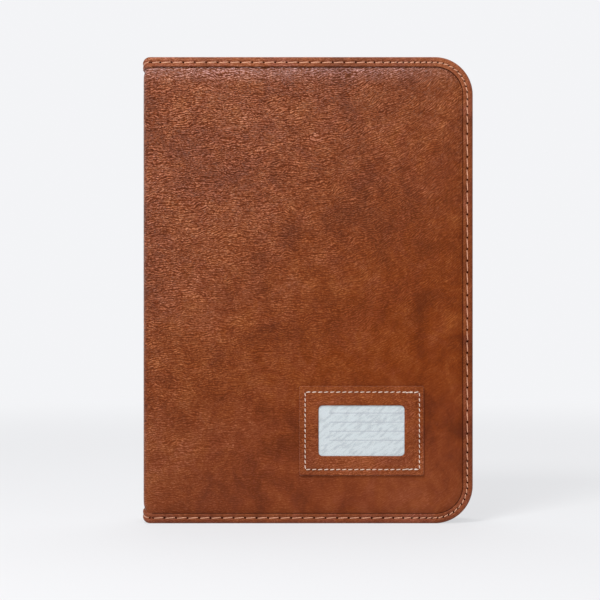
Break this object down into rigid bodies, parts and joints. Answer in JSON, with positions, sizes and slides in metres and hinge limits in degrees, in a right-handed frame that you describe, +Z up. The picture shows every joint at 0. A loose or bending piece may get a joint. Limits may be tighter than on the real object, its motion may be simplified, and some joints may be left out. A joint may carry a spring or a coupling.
{
  "type": "certificate folder",
  "caption": "Upright certificate folder with a sewn leather cover, a card window, four opening rings and clear punched sleeves.",
  "frame": {"origin": "middle of the footprint of the closed, standing folder", "axes": "+Z up along the spine, the front cover faces -Y, the spine is at -X"},
  "size_m": [0.252, 0.0384, 0.356],
  "materials": {
    "leather": "satin grained",
    "binding": "satin",
    "card_frame": "fine grained",
    "lining": "matt woven",
    "board": "matt grey board",
    "film": "clear film",
    "card": "pale ruled card",
    "steel": "nickel plated",
    "sleeve": "clear film over a dark insert"
  },
  "bodies": {
    "spine": {"spine_leather": "leather", "spine_board": "board", "spine_lining": "lining", "spine_binding_bottom": "binding", "spine_binding_top": "binding", "front_hinge_leather": "leather", "back_hinge_leather": "leather", "ring_cover_plate": "steel", "rivet_bottom": "steel", "rivet_top": "steel"},
    "front_cover": {"front_leather": "leather", "front_board": "board", "front_lining": "lining", "front_binding": "binding", "name_card": "card", "card_window": "film", "card_frame": "card_frame"},
    "back_cover": {"back_leather": "leather", "back_board": "board", "back_lining": "lining", "back_binding": "binding"},
    "front_rings": {"front_blade": "steel", "front_ring_1": "steel", "front_ring_2": "steel", "front_ring_3": "steel", "front_ring_4": "steel"},
    "back_rings": {"back_blade": "steel", "back_ring_1": "steel", "back_ring_2": "steel", "back_ring_3": "steel", "back_ring_4": "steel"},
    "top_lever": {"top_lever": "steel"},
    "bottom_lever": {"bottom_lever": "steel"},
    "front_sleeves": {"front_sleeve_1": "sleeve", "front_sleeve_2": "sleeve", "front_sleeve_3": "sleeve", "front_sleeve_4": "sleeve", "front_sleeve_5": "sleeve"},
    "back_sleeves": {"back_sleeve_1": "sleeve", "back_sleeve_2": "sleeve", "back_sleeve_3": "sleeve", "back_sleeve_4": "sleeve", "back_sleeve_5": "sleeve"}
  },
  "joints": [
    {"name": "front_cover_open", "type": "hinge", "parent": "spine", "child": "front_cover", "pos_m": [-0.12418, -0.01643, 0.178], "axis": [0, 0, -1], "range_deg": [0, 100], "deforming": ["front_hinge_leather"]},
    {"name": "back_cover_open", "type": "hinge", "parent": "spine", "child": "back_cover", "pos_m": [-0.12418, 0.01743, 0.178], "axis": [0, 0, 1], "range_deg": [0, 100], "deforming": ["back_hinge_leather"]},
    {"name": "front_sleeves_turn", "type": "hinge", "parent": "spine", "child": "front_sleeves", "pos_m": [-0.11015, 0.0005, 0.178], "axis": [0, 0, -1], "range_deg": [0, 90]},
    {"name": "back_sleeves_turn", "type": "hinge", "parent": "spine", "child": "back_sleeves", "pos_m": [-0.11015, 0.0005, 0.178], "axis": [0, 0, 1], "range_deg": [0, 90]},
    {"name": "front_rings_open", "type": "hinge", "parent": "spine", "child": "front_rings", "pos_m": [-0.11995, -0.0075, 0.178], "axis": [0, 0, -1], "range_deg": [0, 15]},
    {"name": "back_rings_open", "type": "hinge", "parent": "spine", "child": "back_rings", "pos_m": [-0.11995, 0.0085, 0.178], "axis": [0, 0, 1], "range_deg": [0, 15]},
    {"name": "top_lever_press", "type": "hinge", "parent": "spine", "child": "top_lever", "pos_m": [-0.11995, 0.0005, 0.309], "axis": [0, -1, 0], "range_deg": [0, 12]},
    {"name": "bottom_lever_press", "type": "hinge", "parent": "spine", "child": "bottom_lever", "pos_m": [-0.11995, 0.0005, 0.047], "axis": [0, 1, 0], "range_deg": [0, 12]}
  ],
  "couplings": [
    {"joint": "front_sleeves_turn", "follows": "front_cover_open", "ratio": 0.9},
    {"joint": "back_sleeves_turn", "follows": "back_cover_open", "ratio": 0.9},
    {"joint": "back_rings_open", "follows": "front_rings_open", "ratio": 1},
    {"joint": "top_lever_press", "follows": "front_rings_open", "ratio": 0.8},
    {"joint": "bottom_lever_press", "follows": "front_rings_open", "ratio": 0.8}
  ]
}
